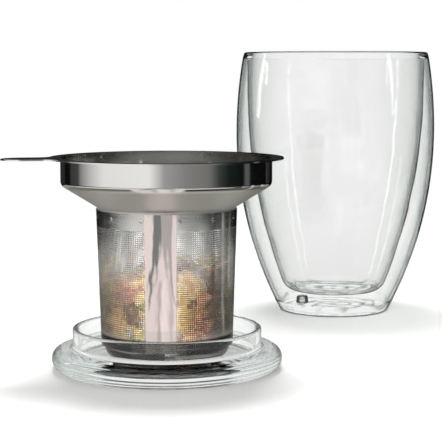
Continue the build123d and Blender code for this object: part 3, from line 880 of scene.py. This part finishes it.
def floor():
    """White paper under the set. It keeps the shadows near the set, but seen through glass it is mostly
    painted white light over them, and it is plain white further off. Steel sees cards lying on it, and two
    grey wedges of card that narrow towards the set."""
    material, tree = new_material("white_paper")
    turn, distance = round_the_axis(tree)
    shade = card_shades(tree, turn, UNDER_CARDS)
    for cards, start, end in FLOOR_RINGS:
        beyond = add(tree, "MapRange", {"Value": distance, "From Min": start, "From Max": end},
                     interpolation_type="SMOOTHSTEP")
        shade = add(tree, "Mix", {"Factor": beyond, 6: shade, 7: card_shades(tree, turn, cards)},
                    data_type="RGBA").outputs[2]
    for near_turn, near_half, far_turn, far_half, darkening in WEDGES:
        span = {"Value": distance, "From Min": WEDGE_START, "From Max": WEDGE_END}
        middle = add(tree, "MapRange", {**span, "To Min": near_turn, "To Max": far_turn})
        half = add(tree, "MapRange", {**span, "To Min": near_half, "To Max": far_half})
        off = add(tree, "Math", {0: turn, 1: middle}, operation="SUBTRACT")
        size = add(tree, "Math", {0: off}, operation="ABSOLUTE")
        across = add(tree, "Math", {0: size, 1: half}, operation="DIVIDE")
        dark = add(tree, "MapRange", {"Value": across, "From Min": 1.3, "From Max": 0.7, "To Max": darkening})
        beyond = add(tree, "Math", {0: distance, 1: WEDGE_START}, operation="GREATER_THAN")
        weight = add(tree, "Math", {0: dark, 1: beyond}, operation="MULTIPLY")
        shade = add(tree, "Mix", {"Factor": weight, 6: shade, 7: linear("#7C8482")},
                    data_type="RGBA").outputs[2]
    mirrored = add(tree, "Emission", {"Color": shade, "Strength": 1.0})

    paper = add(tree, "BsdfDiffuse", {"Color": linear("#F6F6F5")})
    white = add(tree, "Emission", {"Color": (1, 1, 1, 1), "Strength": 1.0})
    away = add(tree, "MapRange", {"Value": distance, "From Min": 0.3, "From Max": 0.65},
               interpolation_type="SMOOTHSTEP")
    plain = add(tree, "MixShader", {"Fac": away, 1: paper, 2: white})
    path = add(tree, "LightPath")
    # Seen through glass, the paper is mostly painted white light, over its shadows.
    through = add(tree, "Math", {0: path.outputs["Is Transmission Ray"], 1: 0.85}, operation="MULTIPLY")
    lit = add(tree, "MixShader", {"Fac": through, 1: plain, 2: white})
    shown = add(tree, "MixShader", {"Fac": mirror_ray(tree, path), 1: lit, 2: mirrored})
    add(tree, "OutputMaterial", {"Surface": shown})

    bm = bmesh.new()
    bmesh.ops.create_circle(bm, cap_ends=True, segments=96, radius=FLOOR_RADIUS)
    bmesh.ops.translate(bm, verts=bm.verts, vec=(0, 0, -0.05 * MM))
    linked("floor", bm, material)


def tent():
    """Cards and a softbox round the set, as one band that only reflections see. Behind the set they are dark,
    for the glass's outlines and the flange's flat top."""
    material, tree = new_material("studio_cards")
    turn, _ = round_the_axis(tree)
    shade = card_shades(tree, turn, (
        (-180, "#FFFFFF"), (-142, "#FFFFFF"), (-139, "#0A0A0A"), (-122, "#0C0C0C"), (-119, "#3C3C3C"),
        (-104, "#484848"), (-100, "#8A8A8A"), (-84, "#CCCCCC"), (-66, "#F8F8F8"), (-16, "#FFFFFF"),
        (0, "#A8A8A8"), (22, "#8C8C8C"), (46, "#7C7C7A"), (58, "#3C4240"), (70, "#1A201F"),
        (90, "#0C0F0F"), (93, "#5A605F"), (98, "#5A605F"), (101, "#0C0E0E"), (136, "#060606"),
        (139, "#FFFFFF"), (180, "#FFFFFF"),
    ))
    place = add(tree, "TexCoord")
    apart = add(tree, "SeparateXYZ", {"Vector": place.outputs["Object"]})
    behind = add(tree, "Math", {0: apart.outputs["Y"], 1: TENT_BACK}, operation="GREATER_THAN")
    cards = add(tree, "Mix", {"Factor": behind, 6: shade, 7: linear("#2A2C2B")}, data_type="RGBA")
    glow = add(tree, "Emission", {"Color": cards.outputs[2], "Strength": 1.1})
    unseen = add(tree, "BsdfTransparent")
    path = add(tree, "LightPath")
    shown = add(tree, "MixShader", {"Fac": mirror_ray(tree, path), 1: unseen, 2: glow})
    add(tree, "OutputMaterial", {"Surface": shown})

    bm = bmesh.new()
    bottom = bmesh.ops.create_circle(bm, segments=96, radius=TENT_RADIUS)["verts"]
    bmesh.ops.translate(bm, verts=bottom, vec=TEA_AXIS * MM)
    rim = bmesh.ops.extrude_edge_only(bm, edges=bm.edges[:])["geom"]
    top = [v for v in rim if isinstance(v, bmesh.types.BMVert)]
    bmesh.ops.translate(bm, verts=top, vec=(0, 0, TENT_HEIGHT))
    band = linked("cards", bm, material)
    band.visible_camera = False
    band.visible_diffuse = False
    band.visible_shadow = False


def lamp(name, place, aim, width, height, power, in_mirrors=False):
    """A soft lamp, width by height in metres. Only the ones in_mirrors show in glass and steel."""
    data = bpy.data.lights.new(name, "AREA")
    data.shape = "RECTANGLE"
    data.size = width
    data.size_y = height
    data.energy = power
    made = bpy.data.objects.new(name, data)
    made.location = place
    made.rotation_euler = (Vector(aim) - Vector(place)).to_track_quat("-Z", "Y").to_euler()
    made.visible_glossy = in_mirrors
    made.visible_transmission = in_mirrors
    bpy.context.scene.collection.objects.link(made)


def world():
    """White to the eye and through glass near the horizon, darker overhead through glass, and soft on all
    sides. Steel sees a softbox right overhead, with dark round it."""
    made = bpy.data.worlds.new("studio")
    made.use_nodes = True
    tree = made.node_tree
    tree.nodes.clear()
    place = add(tree, "TexCoord")
    apart = add(tree, "SeparateXYZ", {"Vector": place.outputs["Generated"]})
    through = add(tree, "ValToRGB", {"Fac": apart.outputs["Z"]},
                  stops=((0.0, "#FFFFFF"), (1.0, "#707070"), (0.35, "#FFFFFF"), (0.55, "#8A8A8A")))
    overhead = add(tree, "ValToRGB", {"Fac": apart.outputs["Z"]},
                   stops=((0.0, "#BCBCBC"), (1.0, "#F4F4F4"), (0.55, "#B4B4B4"), (0.62, "#1C1E1E"),
                          (0.84, "#242626"), (0.90, "#F0F0F0")))
    path = add(tree, "LightPath")
    shade = SOFT_WHITE
    for kind, colour in (("Is Camera Ray", (1, 1, 1, 1)), ("Is Glossy Ray", overhead),
                         ("Is Transmission Ray", through)):
        shade = add(tree, "Mix", {"Factor": path.outputs[kind], 6: shade, 7: colour},
                    data_type="RGBA").outputs[2]
    light = add(tree, "Background", {"Color": shade, "Strength": 1.0})
    add(tree, "OutputWorld", {"Surface": light})
    bpy.context.scene.world = made


def camera():
    """Level with the lid's dish and the mug's mouth as near as one lens can be."""
    data = bpy.data.cameras.new("camera")
    data.sensor_width = 36.0
    data.lens = CAMERA_LENS
    made = bpy.data.objects.new("camera", data)
    made.location = CAMERA_PLACE
    made.rotation_euler = (radians(90 - CAMERA_DIP), 0, 0)
    bpy.context.scene.collection.objects.link(made)
    bpy.context.scene.camera = made


floor()
tent()
world()
camera()
lamp("top", (-0.07, 0.22, 0.95), SET_MIDDLE, 0.35, 0.3, 8.6)
lamp("front", (-0.22, -1.1, 0.14), (-0.073, -0.135, 0.03), 0.7, 0.2, 22.0)
lamp("side", (0.8, -0.5, 0.6), SET_MIDDLE, 0.6, 0.6, 1.0)
lamp("strip_left", (-0.55, 0.12, 0.24), MUG_SHOULDER, 0.05, 0.28, 0.16, in_mirrors=True)
lamp("strip_right", (0.50, -0.24, 0.24), MUG_SHOULDER, 0.04, 0.28, 0.12, in_mirrors=True)

# Light runs round inside the thick glass many times before it leaves.
bpy.context.scene.cycles.max_bounces = 32
bpy.context.scene.cycles.glossy_bounces = 24
bpy.context.scene.cycles.transmission_bounces = 24

bpy.context.scene.view_settings.view_transform = "Standard"
